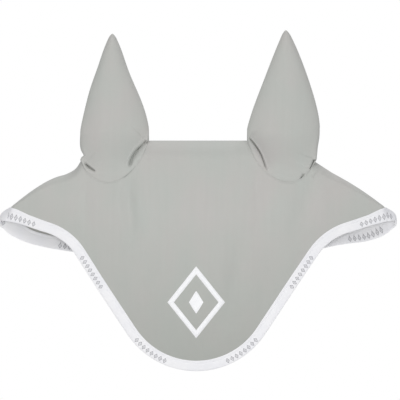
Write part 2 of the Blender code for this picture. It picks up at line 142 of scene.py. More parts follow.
def crest_z(x):
    """Height of the fold line."""
    x = abs(x)
    past_poll = max(0.0, min(x, EAR_OUTER) - POLL_HALF)
    past_ear = max(0.0, x - EAR_OUTER)
    return CREST - past_poll * tan(EAR_FOOT_ANGLE) - past_ear * tan(WING_ANGLE)


def depth(x, side):
    """Distance from the fold line to a panel, in plan."""
    middle = DEPTH_FRONT if side == FRONT else DEPTH_BACK
    return DEPTH_TIP + (middle - DEPTH_TIP) * max(0.0, 1 - (x / HALF_WIDTH) ** 2) ** SEAM_POWER


def fold_drop(x, side):
    """Height over which the fold turns from level to upright."""
    middle = DEPTH_FRONT if side == FRONT else DEPTH_BACK
    return FOLD_DROP * (depth(x, side) / middle) ** 2


def hood_point(x, turn, side):
    """Point of a panel: turn is 0 on the fold line, 1 where it is upright, then by height."""
    quarter = min(turn, 1.0) * pi / 2
    y = depth(x, side) * sin(quarter)
    below = fold_drop(x, side) * (1 - cos(quarter)) + max(0.0, turn - 1.0) * TURN_HEIGHT
    if side == FRONT:
        crown = sin(pi * below / (2 * BULGE_DROP))
        y += FORWARD_BULGE * crown * max(0.0, 1 - (x / HALF_WIDTH) ** 2)
    return Vector((x, side * y, crest_z(x) - below))


def turn_at(x, z, side):
    """The turn at which a panel passes height z."""
    below = crest_z(x) - z
    drop = fold_drop(x, side)
    if below >= drop:
        return 1 + (below - drop) / TURN_HEIGHT
    return acos(1 - max(0.0, below) / drop) / (pi / 2)


def on_hood(x, z, side, lift=0.0):
    """Point on a panel at height z, lifted outwards, and the outward normal."""
    turn = turn_at(x, z, side)
    across = hood_point(x + STEP, turn, side) - hood_point(x - STEP, turn, side)
    down = hood_point(x, turn + STEP, side) - hood_point(x, turn - STEP, side)
    normal = across.cross(down).normalized() * side
    return hood_point(x, turn, side) + normal * lift, normal


def front_hem_z(x):
    """Lower edge of the forehead cloth."""
    x = abs(x)
    centre_z = CREST - POINT_DROP + POINT_RADIUS
    flank_x = POINT_RADIUS * sin(FLANK_ANGLE)
    flank_z = centre_z - POINT_RADIUS * cos(FLANK_ANGLE)
    wing_z = crest_z(WING_END) - WING_EDGE
    steep, flat = tan(FLANK_ANGLE), tan(WING_HEM_ANGLE)
    corner_x = (flank_z - wing_z - flank_x * steep + WING_END * flat) / (flat - steep)
    corner_z = wing_z + (corner_x - WING_END) * flat
    reach = CHEEK_RADIUS * tan((FLANK_ANGLE - WING_HEM_ANGLE) / 2)
    low_x = corner_x - reach * cos(FLANK_ANGLE)
    low_z = corner_z - reach * sin(FLANK_ANGLE)
    if x < flank_x:
        return centre_z - sqrt(POINT_RADIUS ** 2 - x ** 2)
    if x < low_x:
        return flank_z + (x - flank_x) * steep
    if x < corner_x + reach * cos(WING_HEM_ANGLE):
        hollow_x = low_x + CHEEK_RADIUS * sin(FLANK_ANGLE)
        hollow_z = low_z - CHEEK_RADIUS * cos(FLANK_ANGLE)
        return hollow_z + sqrt(CHEEK_RADIUS ** 2 - (x - hollow_x) ** 2)
    return wing_z + (x - WING_END) * flat


def back_hem_z(x):
    """Lower edge of the neck cloth."""
    start = crest_z(WING_END) - BACK_EDGE
    share = min(1.0, abs(x) / BACK_HALF) ** BACK_POWER
    return start - (BACK_DROP - (CREST - start)) * (1 - share) ** (1 / BACK_POWER)


def hem_z(x, side):
    """Lower edge of the cloth; at the wings it rises to the fold line, under the wider tape."""
    flat, edge = (front_hem_z(x), WING_EDGE) if side == FRONT else (back_hem_z(x), BACK_EDGE)
    return flat + (edge - BELOW_FOLD) * smooth(WING_END - RISE_WIDTH, WING_END, abs(x))


def tape_low(x, side):
    """Place of the tape's lower edge in the front view."""
    hem = front_hem_z if side == FRONT else back_hem_z
    slope = (hem(x + STEP) - hem(x - STEP)) / (2 * STEP)
    length = hypot(1, slope)
    reach = SEAM_GAP + BINDING_WIDTH
    return x + reach * slope / length, hem(x) - reach / length


def ear_room(x):
    """1 in an ear foot's middle column, 0 at its ends and beyond."""
    return max(0.0, 1 - ((abs(x) - EAR_MIDDLE) / (EAR_FOOT_WIDTH / 2)) ** 2)


def hole_turn(x):
    """The neck panel's turn at the ear hole's edge, in column x."""
    opening = HOLE_DEPTH * sqrt(ear_room(x))
    return asin(min(1.0, opening / depth(x, BACK))) / (pi / 2)


def ear_seam_z(x):
    """Height of the sewn line under an ear, on the forehead panel."""
    return crest_z(x) - EAR_SEAM_DEPTH * ear_room(x) ** SEAM_POWER


# ---- Small helpers ----

def spread(low, high, count):
    return [low + (high - low) * i / (count - 1) for i in range(count)]


def smooth(low, high, value):
    """Smooth step from 0 at low to 1 at high, of a number or an array."""
    t = np.clip((value - low) / (high - low), 0, 1)
    return t * t * (3 - 2 * t)


def bell(value, centre, width):
    return np.exp(-((value - centre) / width) ** 2)


def front_view(place):
    return place.x, place.z


def start_mesh():
    """Empty bmesh and the UV layer that its weave follows."""
    bm = bmesh.new()
    return bm, bm.loops.layers.uv.new("cloth")


def skin(bm, uv, rows, place, closed=False, flipped=False):
    """Faces between rows of vertices; place turns a vertex's position into its UV."""
    made, count = [], len(rows[0])
    for upper, lower in zip(rows, rows[1:]):
        for k in range(count if closed else count - 1):
            m = (k + 1) % count
            quad = (upper[k], upper[m], lower[m], lower[k])
            face = bm.faces.new(quad[::-1] if flipped else quad)
            for loop in face.loops:
                loop[uv].uv = place(loop.vert.co)
            made.append(face)
    return made


def add_object(name, data):
    made = bpy.data.objects.new(name, data)
    bpy.context.scene.collection.objects.link(made)
    return made


def new_object(name, bm, material):
    mesh = bpy.data.meshes.new(name)
    bm.to_mesh(mesh)
    bm.free()
    mesh.shade_smooth()
    mesh.materials.append(material)
    return add_object(name, mesh)


def new_solid(name, bm, material):
    """Object from a closed bmesh, its faces turned outwards."""
    bmesh.ops.recalc_face_normals(bm, faces=bm.faces)
    return new_object(name, bm, material)


def apply_modifiers(obj):
    """Replaces the object's mesh with what its modifiers make of it."""
    bpy.context.view_layer.update()
    graph = bpy.context.evaluated_depsgraph_get()
    mesh = bpy.data.meshes.new_from_object(obj.evaluated_get(graph))
    obj.modifiers.clear()
    obj.data = mesh
    mesh.shade_smooth()
    return obj


def subdivide(obj, levels):
    made = obj.modifiers.new("smooth", "SUBSURF")
    made.levels = made.render_levels = levels
    made.boundary_smooth = "PRESERVE_CORNERS"
    return apply_modifiers(obj)


def solidify(obj, thickness):
    made = obj.modifiers.new("cloth", "SOLIDIFY")
    made.thickness = thickness
    made.offset = 0.0
    made.use_even_offset = False
    apply_modifiers(obj)
    obj.data.set_sharp_from_angle(angle=radians(55))
    return obj


def points_of(obj):
    """The mesh's vertices and their normals as arrays."""
    count = len(obj.data.vertices)
    places, normals = np.empty(count * 3), np.empty(count * 3)
    obj.data.vertices.foreach_get("co", places)
    obj.data.vertices.foreach_get("normal", normals)
    return places.reshape(-1, 3), normals.reshape(-1, 3)


def set_points(obj, places):
    obj.data.vertices.foreach_set("co", places.ravel())
    obj.data.update()


def line_distance(x, z, route):
    """Signed distance in the front view to a route of points, positive on its left, and the share
    of the route's length at the nearest place."""
    best = np.full(len(x), 1e9)
    sign = np.ones(len(x))
    share = np.zeros(len(x))
    route = np.array(route, float)
    lengths = np.hypot(*(route[1:] - route[:-1]).T)
    total, done = lengths.sum(), 0.0
    for a, b, length in zip(route[:-1], route[1:], lengths):
        heading = (b - a) / length
        rx, rz = x - a[0], z - a[1]
        along = np.clip(rx * heading[0] + rz * heading[1], 0, length)
        off = np.hypot(rx - along * heading[0], rz - along * heading[1])
        side = np.sign(heading[0] * rz - heading[1] * rx)
        nearer = off < best
        best = np.where(nearer, off, best)
        sign = np.where(nearer, side, sign)
        share = np.where(nearer, (done + along) / total, share)
        done += length
    return best * sign, share


def curve_through(points, count):
    """Smooth route through a few points (Catmull-Rom)."""
    points = [np.array(p, float) for p in points]
    padded = [2 * points[0] - points[1]] + points + [2 * points[-1] - points[-2]]
    made = []
    for i in range(1, len(padded) - 2):
        a, b, c, d = padded[i - 1:i + 3]
        for t in np.linspace(0, 1, count, endpoint=False):
            made.append(0.5 * (2 * b + (c - a) * t + (2 * a - 5 * b + 4 * c - d) * t * t
                               + (3 * b - a - 3 * c + d) * t ** 3))
    return made + [points[-1]]


# ---- Materials ----

class Nodes:
    """Short way to build a node material."""

    def __init__(self, name):
        self.material = bpy.data.materials.new(name)
        self.material.use_nodes = True
        self.tree = self.material.node_tree
        self.shader = self.tree.nodes["Principled BSDF"]

    def add(self, kind, **values):
        node = self.tree.nodes.new(kind)
        for key, value in values.items():
            setattr(node, key, value)
        return node

    def link(self, source, node, socket):
        """Links a socket, or sets it to a number or a colour."""
        if isinstance(source, bpy.types.NodeSocket):
            self.tree.links.new(source, node.inputs[socket])
        else:
            value = (*source, 1.0) if isinstance(source, tuple) else source
            node.inputs[socket].default_value = value

    def math(self, operation, a, b=None, c=None, clamp=False):
        node = self.add("ShaderNodeMath", operation=operation, use_clamp=clamp)
        for index, value in enumerate((a, b, c)):
            if value is not None:
                self.link(value, node, index)
        return node.outputs[0]

    def uv(self):
        node = self.add("ShaderNodeUVMap", uv_map="cloth")
        split = self.add("ShaderNodeSeparateXYZ")
        self.link(node.outputs[0], split, 0)
        return node.outputs[0], split.outputs[0], split.outputs[1]

    def noise(self, vector, scale, stretch=(1, 1, 1), detail=3.0, roughness=0.5):
        mapping = self.add("ShaderNodeMapping")
        mapping.inputs["Scale"].default_value = stretch
        self.link(vector, mapping, "Vector")
        node = self.add("ShaderNodeTexNoise")
        for value, socket in ((scale, "Scale"), (detail, "Detail"), (roughness, "Roughness"),
                              (mapping.outputs[0], "Vector")):
            self.link(value, node, socket)
        return node.outputs["Fac"]

    def wave(self, value, pitch):
        """Ridges of one pitch, from 0 to 1."""
        angle = self.math("MULTIPLY", value, tau / pitch)
        return self.math("MULTIPLY_ADD", self.math("SINE", angle), 0.5, 0.5)

    def ramp(self, factor, stops):
        node = self.add("ShaderNodeValToRGB")
        points = node.color_ramp.elements
        while len(points) < len(stops):
            points.new(0.5)
        for point, (place, colour) in zip(points, stops):
            point.position = place
            point.color = (*colour, 1.0)
        self.link(factor, node, "Fac")
        return node.outputs["Color"]

    def mix(self, factor, a, b, blend="MIX"):
        node = self.add("ShaderNodeMix", data_type="RGBA", blend_type=blend)
        for value, socket in ((factor, "Factor"), (a, 6), (b, 7)):
            self.link(value, node, socket)
        return node.outputs[2]

    def bump(self, height, strength, distance, after=None):
        node = self.add("ShaderNodeBump")
        node.inputs["Strength"].default_value = strength
        node.inputs["Distance"].default_value = distance
        self.link(height, node, "Height")
        if after is not None:
            self.link(after, node, "Normal")
        return node.outputs[0]

    def finish(self, colour, roughness, normal, sheen, specular):
        for value, socket in ((colour, "Base Color"), (roughness, "Roughness"), (normal, "Normal"),
                              (sheen, "Sheen Weight"), (specular, "Specular IOR Level")):
            self.link(value, self.shader, socket)
        return self.material


RIB_PITCH, ROW_PITCH = 0.0011, 0.0009  # knit
TAPE_RIB, TAPE_WARP = 0.00115, 0.0006  # weave of the tape
MARK_CELL, MARKS_PER_GROUP = 0.0066, 20  # lozenges on the tape
MARK_FROM, MARK_TO = 0.30, 0.70  # part of each group's pitch that is marked
MARK_MIDDLE, MARK_HEIGHT = 0.0076, 0.0088
TWIST_PITCH = 0.0007


def cloth_material():
    """Soft grey knitted cloth: fine upright ribs, streaks and faint mottling, with painted shade in
    the knit's hollows and towards the bottom.
    """
    n = Nodes("shell_cloth")
    uv, u, v = n.uv()
    drift = n.math("MULTIPLY", n.noise(uv, 60.0, (1, 0.3, 1)), 0.0006)
    ribs = n.wave(n.math("ADD", u, drift), RIB_PITCH)
    stitches = n.wave(n.math("ADD", v, n.math("MULTIPLY", ribs, 0.0004)), ROW_PITCH)
    knit = n.math("MULTIPLY", ribs, n.math("MULTIPLY_ADD", stitches, 0.45, 0.55))
    fuzz = n.noise(uv, 2400.0, detail=2.0)
    streaks = n.noise(uv, 48.0, (4.0, 0.22, 1), detail=4.0, roughness=0.6)
    mottle = n.noise(uv, 17.0, (1, 0.6, 1), detail=3.0)
    base = n.ramp(mottle, [(0.34, (0.478, 0.497, 0.468)), (0.5, (0.494, 0.498, 0.472)),
                           (0.66, (0.508, 0.494, 0.474))])
    streaked = n.mix(n.math("MULTIPLY", n.math("SUBTRACT", streaks, 0.35, clamp=True), 0.55), base,
                     (0.545, 0.548, 0.528))
    # Painted shade: darker where the fine fuzz sits low, in the hollows of its bump.
    fuzz_shaded = n.mix(n.math("MULTIPLY", n.math("SUBTRACT", 0.62, fuzz, clamp=True), 0.35), streaked,
                 (0.40, 0.405, 0.385))
    # Painted shade: darker where the knit's ribs and stitches sit low, in the hollows that its bump
    # makes.
    rib_shaded = n.mix(n.math("MULTIPLY", n.math("SUBTRACT", 1.0, knit), 0.11), fuzz_shaded,
                   (0.36, 0.365, 0.345))
    # Painted shade: below v = -0.05 the colour darkens towards the bottom, standing in for the
    # light falling off on the lower cloth.
    low = n.math("MULTIPLY", n.math("SUBTRACT", -0.05, v, clamp=True), 3.4, clamp=True)
    shaded = n.mix(low, rib_shaded, (0.36, 0.372, 0.345))
    rough = n.math("MULTIPLY_ADD", streaks, 0.12, 0.80)
    coarse = n.bump(mottle, 0.12, 0.004)
    threads = n.bump(n.math("MULTIPLY_ADD", fuzz, 0.5, knit), 0.32, 0.00022, after=coarse)
    n.link(0.55, n.shader, "Sheen Roughness")
    return n.finish(shaded, rough, threads, sheen=0.18, specular=0.22)


def tape_material():
    """White woven tape: cross ribs, a plain selvedge, and groups of small grey lozenges, with
    painted shade between the ribs.
    """
    n = Nodes("white_tape")
    uv, u, v = n.uv()
    ribs = n.wave(u, TAPE_RIB)
    warp = n.wave(v, TAPE_WARP)
    weave = n.math("MULTIPLY_ADD", warp, 0.25, ribs)
    group = n.math("FRACT", n.math("DIVIDE", u, MARK_CELL * MARKS_PER_GROUP))
    shown = n.math("MULTIPLY", n.math("GREATER_THAN", group, MARK_FROM),
                   n.math("LESS_THAN", group, MARK_TO))
    within = n.math("FRACT", n.math("DIVIDE", u, MARK_CELL))
    across = n.math("ABSOLUTE", n.math("SUBTRACT", within, 0.5))
    up = n.math("ABSOLUTE", n.math("DIVIDE", n.math("SUBTRACT", v, MARK_MIDDLE), MARK_HEIGHT))
    reach = n.math("ADD", n.math("MULTIPLY", across, 1.05), up)
    off = n.math("MULTIPLY", n.math("ABSOLUTE", n.math("SUBTRACT", reach, 0.33)), 7.0)
    ring = n.math("SUBTRACT", 1.0, off, clamp=True)
    dot = n.math("LESS_THAN", reach, 0.10)
    mark = n.math("MULTIPLY", shown, n.math("MAXIMUM", ring, dot))
    grain = n.noise(uv, 900.0, detail=2.0)
    cloud = n.noise(uv, 30.0, detail=2.0)
    white = n.ramp(cloud, [(0.35, (0.84, 0.84, 0.865)), (0.65, (0.885, 0.88, 0.89))])
    # Painted shade: darker in the grooves between the cross ribs, where the weave's bump sits low.
    shaded = n.mix(n.math("MULTIPLY", n.math("SUBTRACT", 1.0, ribs), 0.10), white,
                   (0.72, 0.72, 0.76))
    specked = n.mix(n.math("MULTIPLY", n.math("SUBTRACT", 0.5, grain, clamp=True), 0.4), shaded,
                    (0.74, 0.74, 0.77))
    marked = n.mix(n.math("MULTIPLY", mark, 0.95), specked, (0.24, 0.24, 0.26))
    return n.finish(marked, n.math("MULTIPLY_ADD", grain, 0.2, 0.58),
                    n.bump(weave, 0.35, 0.00018), sheen=0.12, specular=0.3)


def thread_material(name, light, dark, roughness):
    """Twisted thread, lighter on some strands."""
    n = Nodes(name)
    uv, u, v = n.uv()
    strands = n.noise(uv, 1500.0, (1, 0.25, 1), detail=2.0)
    patch = n.noise(uv, 90.0, detail=2.0)
    twist = n.wave(n.math("ADD", u, n.math("MULTIPLY", v, 1.4)), TWIST_PITCH)
    tone = n.math("MULTIPLY_ADD", strands, 0.7, n.math("MULTIPLY", patch, 0.3))
    return n.finish(n.ramp(tone, [(0.3, dark), (0.6, light)]),
                    n.math("MULTIPLY_ADD", strands, 0.2, roughness),
                    n.bump(twist, 0.25, 0.00012), sheen=0.15, specular=0.45)


CLOTH_MATERIAL = cloth_material()
TAPE_MATERIAL = tape_material()
SATIN = thread_material("satin_thread", (0.93, 0.93, 0.94), (0.83, 0.835, 0.855), 0.38)
GREY_THREAD = thread_material("grey_thread", (0.50, 0.505, 0.485), (0.42, 0.425, 0.405), 0.6)
SEWING = thread_material("sewing_thread", (0.90, 0.90, 0.92), (0.74, 0.74, 0.78), 0.5)

# ---- Hood ----

# Soft furrows in the front view: side, route, half width, depth
FURROWS = [
    (FRONT, ((0.06, -0.12), (0.053, -0.18), (0.046, -0.232)), 0.013, 0.003),
    (FRONT, ((0.034, -0.215), (0.02, -0.258), (-0.004, -0.272)), 0.014, 0.0012),
    (FRONT, ((-0.094, -0.036), (-0.093, -0.075), (-0.085, -0.13)), 0.008, 0.0034),
    (FRONT, ((0.15, -0.052), (0.143, -0.085), (0.128, -0.12)), 0.012, 0.0016),
    (FRONT, ((0.088, -0.052), (0.083, -0.09), (0.078, -0.14)), 0.011, 0.0012),
    (FRONT, ((-0.15, -0.055), (-0.15, -0.085), (-0.14, -0.118)), 0.011, 0.0014),
    (FRONT, ((-0.058, -0.12), (-0.062, -0.17), (-0.052, -0.22)), 0.015, 0.0012),
    (FRONT, ((0.1655, -0.03), (0.1615, -0.0375), (0.1555, -0.0445)), 0.002, 0.004),
    (BACK, ((-0.076, -0.028), (-0.07, -0.07), (-0.058, -0.115)), 0.011, 0.0022),
    (BACK, ((0.084, -0.026), (0.094, -0.065), (0.104, -0.105)), 0.011, 0.0022),
    (BACK, ((0.012, -0.045), (0.004, -0.08), (0.012, -0.118)), 0.017, 0.0018),
    (BACK, ((-0.172, -0.046), (-0.158, -0.07), (-0.14, -0.098)), 0.009, 0.0017),
    (BACK, ((0.162, -0.044), (0.172, -0.064), (0.186, -0.082)), 0.009, 0.0015),
]


HOOD_ROWS = ((FRONT, 9, 46), (BACK, 9, 22))  # rows round the fold, rows below it
UNDER_TAPE = 0.0012  # the cloth's edge at a nose lies this far in


def column_places():
    """Columns of the hood, closer together round each ear hole."""
    hole = [EAR_MIDDLE - EAR_FOOT_WIDTH / 2 * cos(pi * i / HOLE_STEPS)
            for i in range(HOLE_STEPS + 1)]
    half = spread(0, POLL_HALF, 17)[:-1] + hole + spread(EAR_OUTER, WING_END, 26)[1:]
    return [-x for x in reversed(half[1:])] + half


def nose_column(k, side, count):
    """Column of the cloth that closes a wing's nose, from its middle to under the tape's edge."""
    frames = wing_frames(1)
    front, back = frames[k], frames[-1 - k]
    upper, lower, _ = front if side == FRONT else back
    edge = upper + (lower - upper).normalized() * UNDER_TAPE
    return [((front[0] + back[0]) / 2).lerp(edge, i / (count - 1)) for i in range(count)]


def hood_bmesh():
    """Both panels as one sheet, open at the ear holes; under an ear the front starts at the sewn
    line."""
    bm, uv = start_mesh()
    for side, fold_rows, fall_rows in HOOD_ROWS:
        grid = []
        for x in column_places():
            start = 0.0
            if POLL_HALF + 1e-9 < abs(x) < EAR_OUTER - 1e-9:
                if side == FRONT:
                    start = turn_at(x, ear_seam_z(x), side)
                else:
                    start = hole_turn(x)
            end = turn_at(x, hem_z(x, side), side)
            knee = min(1.0, (start + end) / 2)
            if start >= 1.0:
                turns = spread(start, end, fold_rows + fall_rows)
            else:
                turns = (spread(start, knee, fold_rows + 1)[:-1]
                         + spread(knee, end, fall_rows))
            grid.append([hood_point(x, turn, side) for turn in turns])
        for k in range(0, NOSE_FRAMES // 2, 2):
            nose = nose_column(k, side, fold_rows + fall_rows)
            grid.append(nose)
            grid.insert(0, [Vector((-p.x, p.y, p.z)) for p in nose])
        verts = [[bm.verts.new(point) for point in column] for column in grid]
        skin(bm, uv, verts, lambda p: (p.x, p.z + side * p.y), flipped=side == BACK)
    bmesh.ops.remove_doubles(bm, verts=bm.verts, dist=1e-6)
    bmesh.ops.recalc_face_normals(bm, faces=bm.faces)
    return bm


FADE_ENDS = (0.06, 0.94)  # shares of a furrow's length that its fade runs between
BANK, BANK_OFF = 0.35, 1.7  # height of a furrow's banks, and how many half widths off they stand
UNEVEN = 0.0011


def furrowed(places, normals):
    """Pushes soft furrows and small unevenness into the cloth, none at its hems and fold."""
    x, z = places[:, 0], places[:, 2]
    front = (normals[:, 1] < 0).astype(float)
    crest = np.array([crest_z(v) for v in x])
    hems = np.array([hem_z(v, FRONT if f else BACK) for v, f in zip(x, front)])
    inside = smooth(0.0, 0.030, z - hems) * smooth(0.0, 0.028, crest - z)
    push = np.zeros(len(x))
    for side, route, width, deep in FURROWS:
        off, share = line_distance(x, z, curve_through(route, 8))
        fade = np.sin(np.pi * np.clip(share, *FADE_ENDS)) ** 0.7
        fade = fade * (front if side == FRONT else 1 - front)
        push -= deep * fade * bell(off, 0, width)
        push += BANK * deep * fade * bell(np.abs(off), BANK_OFF * width, width)
    rough = np.array([noise.noise((a * 22, b * 30 + 5, c * 9))
                      + 0.35 * noise.noise((a * 60, b * 60, c * 24 + 3)) for a, b, c in places])
    push += UNEVEN * rough
    return places + normals * (push * inside)[:, None]


# How the wings hang: heights, then where along x and how wide
LEFT_ARCH, RIGHT_ARCH, ARCH_START = 0.0024, 0.0040, 0.180
DIP, DIP_X, DIP_WIDTH = 0.0050, 0.168, 0.018
LOBE, LOBE_X, LOBE_WIDTH, LOBE_FALL = 0.0052, 0.1560, 0.0050, 0.012
TUCK, TUCK_X, TUCK_WIDTH = 0.0060, 0.192, 0.042


def warped(places):
    """The bonnet as it hangs: the wings arch a little, the horse's right one dips beside its ear,
    where a small lobe of cloth stands up, the forehead point swings to one side, and the neck's
    hem is tucked up under the horse's left wing."""
    moved = places.copy()
    x, y, z = places[:, 0], places[:, 1], places[:, 2]
    out = np.abs(x)
    crest = np.array([crest_z(v) for v in x])
    near = smooth(0.060, 0.0, crest - z)
    along = np.clip((out - ARCH_START) / (WING_END - ARCH_START), 0, 1)
    arch = np.where(x > 0, LEFT_ARCH, RIGHT_ARCH) * np.sin(np.pi * along)
    dip = np.where(x > 0, 0.0, DIP) * bell(out, DIP_X, DIP_WIDTH)
    lobe = np.where(x > 0, 0.0, LOBE) * bell(out, LOBE_X, LOBE_WIDTH)
    moved[:, 2] += (arch - dip) * near + lobe * bell(crest - z, 0, LOBE_FALL)
    moved[:, 0] -= SWING * smooth(-0.07, -0.20, z) * smooth(0.004, -0.004, y)
    hem = np.array([back_hem_z(v) for v in x])
    tuck = TUCK * bell(x, TUCK_X, TUCK_WIDTH) * smooth(0.050, 0.0, z - hem)
    moved[:, 2] += tuck * smooth(0.0, 0.006, y)
    return moved


def make_hood():
    hood = new_object("hood_cloth", hood_bmesh(), CLOTH_MATERIAL)
    subdivide(hood, 1)
    places, normals = points_of(hood)
    set_points(hood, warped(furrowed(places, normals)))
    return hood


# ---- Ears ----

def ear_centre(share):
    return EAR_MIDDLE + COVER_SHIFT + EAR_LEAN * share


LEAF_START, LEAF_OVER, TIP_ROUND = 0.010, 0.003, 0.0045


def ear_half_width(z):
    """Leaf outline, with a small round tip."""
    share = min(1.0, max(0.0, (z - CREST - LEAF_START) / (EAR_HEIGHT + LEAF_OVER - LEAF_START)))
    half = EAR_HALF_WIDTH * (1 - share ** 1.5)
    slim = 0.0018 * sin(pi * share) ** 2
    near = max(0.0, min(1.0, (z - (EAR_TIP_Z - TIP_ROUND)) / TIP_ROUND))
    return max(0.0, (half - slim + 0.0006) * sqrt(max(0.0, 1 - near ** 2)))


def cover_point(angle, z):
    """Point of an ear cover above its foot: lens-shaped across, sharp at its two seams."""
    half = ear_half_width(z)
    share = (z - RING_Z) / (EAR_TIP_Z - RING_Z)
    deep = EAR_DEPTH * sqrt(half / EAR_HALF_WIDTH)
    sine = sin(angle)
    return Vector((ear_centre(share) + half * cos(angle),
                   -copysign(deep * abs(sine) ** 1.35, sine), z))


def hermite(a, b, out, into, t):
    return (a * (2 * t ** 3 - 3 * t ** 2 + 1) + out * (t ** 3 - 2 * t ** 2 + t)
            + b * (3 * t ** 2 - 2 * t ** 3) + into * (t ** 3 - t ** 2))


def foot_point(angle, u):
    """Point of an ear's foot, from the sewn line (u = 0) to the level ring (u = 1)."""
    x = EAR_MIDDLE + EAR_FOOT_WIDTH / 2 * cos(angle)
    sine = sin(angle)
    top = cover_point(angle, RING_Z)
    if sine > 1e-6:
        low = hood_point(x, turn_at(x, ear_seam_z(x), FRONT), FRONT)
        tuck = 0.0
    else:
        low = hood_point(x, hole_turn(x), BACK)
        tuck = 0.15 * abs(sine)
    if u < tuck:
        return low + Vector((0, -0.10, -1.0)) * (0.008 * abs(sine) * (1 - u / tuck))
    t = (u - tuck) / (1 - tuck)
    length = (top - low).length
    bulge = 0.85 * max(0.0, cos(angle)) ** 1.5
    rise = Vector((bulge, -0.25 * abs(sine) if sine > 0 else 0.30 * abs(sine), 0.9)) * length
    return hermite(low, top, rise, Vector((0, 0, 0.9 * length)), t)


def ear_bmesh(hand):
    """Foot and cover of one ear as one sleeve; faces of the cover have material index 1."""
    bm, uv = start_mesh()
    around = 2 * HOLE_STEPS
    angles = [pi * j / HOLE_STEPS for j in range(around)]
    rows = [[foot_point(angle, i / FOOT_ROWS) for angle in angles] for i in range(FOOT_ROWS)]
    rows += [[cover_point(angle, z) for angle in angles]
             for z in spread(RING_Z, EAR_TIP_Z - 0.0004, COVER_ROWS + 1)]
    verts = [[bm.verts.new((p.x * hand, p.y, p.z)) for p in row] for row in rows]
    for index, face in enumerate(skin(bm, uv, verts, front_view, closed=True, flipped=hand < 0)):
        row, column = divmod(index, around)
        face.material_index = 0 if row < FOOT_ROWS else 1
        if column >= HOLE_STEPS:
            for loop in face.loops:
                loop[uv].uv = (loop.vert.co.x + COVER_BACK_U, loop.vert.co.z)
    tip = bm.verts.new((ear_centre(1) * hand, 0, EAR_TIP_Z))
    for j in range(around):
        ring = (verts[-1][j], verts[-1][(j + 1) % around], tip)
        face = bm.faces.new(ring[::-1] if hand < 0 else ring)
        face.material_index = 1
        for loop in face.loops:
            loop[uv].uv = front_view(loop.vert.co)
    return bm


# Creases of each ear in the front view, for the horse's left ear; x is measured outwards.
# Each is route, half width, depth, step up to the leaf on its outer side, and the shares where it
# fades in and out
LEFT_CREASES = [
    (((0.0672, 0.0085), (0.072, 0.0035), (0.0783, -0.0045), (0.0845, -0.015),
      (0.089, -0.027), (0.0918, -0.0385)), 0.0012, 0.0075, 0.0045, 0.1, 0.8),
    (((0.156, -0.0215), (0.1535, -0.0275), (0.15, -0.0345)),
     0.0013, 0.0085, -0.0025, 0.02, 0.85),
    (((0.142, -0.0405), (0.1395, -0.0445), (0.1365, -0.049)),
     0.0011, 0.0045, -0.001, 0.15, 0.8),
]
RIGHT_CREASES = [
    (((0.069, 0.0035), (0.0755, -0.003), (0.083, -0.011), (0.0893, -0.0215),
      (0.092, -0.033)), 0.0028, 0.0086, 0.004, 0.04, 0.85),
    (((0.1512, -0.0262), (0.1445, -0.032), (0.137, -0.0375)),
     0.0013, 0.01, -0.0025, 0.06, 0.8),
]
CREASE_LEAF = 0.010  # the step beside a crease dies out over this width
# The horse's right cover is drawn in at its waist, leans in, and is slimmer and lower
WAIST_IN, LEAN_IN, SLIM_IN, PINCH, LOWER = 0.0028, 0.0030, 0.0054, 0.12, 0.0048
# The left one bows out and is drawn in at its waist
BOW_OUT, LEFT_WAIST_IN = 0.0023, 0.0032


def hung(places, hand):
    """Each ear's own stance: how it leans, and how its outline draws in beside the hood. Its sewn
    line stays where it is."""
    x, y, z = places[:, 0] * hand, places[:, 1], places[:, 2]
    moved = places.copy()
    height = np.clip((z - RING_Z) / (EAR_HEIGHT - EAR_FOOT_RISE), 0, 1)
    centre = ear_centre(height)
    outer = smooth(0.010, 0.040, x - centre)
    seam = np.array([ear_seam_z(v) if front else crest_z(v) - 0.006
                     for v, front in zip(x, y < 0)])
    free = smooth(0.0, 0.012, z - seam)
    if hand < 0:
        waist = bell(z, -0.016, 0.013) * outer
        slim = smooth(0.62, 0.10, height) * outer
        pinch = PINCH * bell(height, 0.66, 0.26) * (x - centre)
        moved[:, 0] += (WAIST_IN * waist + LEAN_IN * height + SLIM_IN * slim + pinch) * free
        moved[:, 2] -= LOWER * height
    else:
        moved[:, 0] += BOW_OUT * np.sin(np.pi * height) ** 0.7
        moved[:, 0] -= LEFT_WAIST_IN * bell(z, -0.006, 0.014) * outer * free
    return moved


def creased(places, hand):
    """Folds, slits and gentle unevenness of one ear."""
    moved = hung(places, hand)
    x, y, z = moved[:, 0] * hand, places[:, 1], moved[:, 2]
    front = smooth(0.0, 0.004, -y)
    creases = LEFT_CREASES if hand > 0 else RIGHT_CREASES
    for route, width, deep, step, fade_in, fade_out in creases:
        off, share = line_distance(x, z, curve_through(route, 6))
        ends = smooth(0.0, fade_in, share) * (1 - smooth(fade_out, 1.0, share))
        groove = deep * bell(off, 0, width * (1.35 - 0.6 * share))
        leaf = (np.abs(step) * smooth(0.0002, 0.0022, np.sign(step) * off)
                * np.exp(-np.abs(off) / CREASE_LEAF))
        moved[:, 1] += front * ends * (groove - leaf)
    level = smooth(RING_Z - 0.004, RING_Z + 0.030, z)
    rough = np.array([noise.noise((a * 26 * hand, b * 14, c * 13 + 7)) for a, b, c in places])
    middle = np.clip(1 - np.abs(x - EAR_MIDDLE - 0.006) / 0.045, 0, 1)
    moved[:, 1] += np.sign(y) * (0.0016 * rough + 0.0008) * level * middle
    return warped(moved)


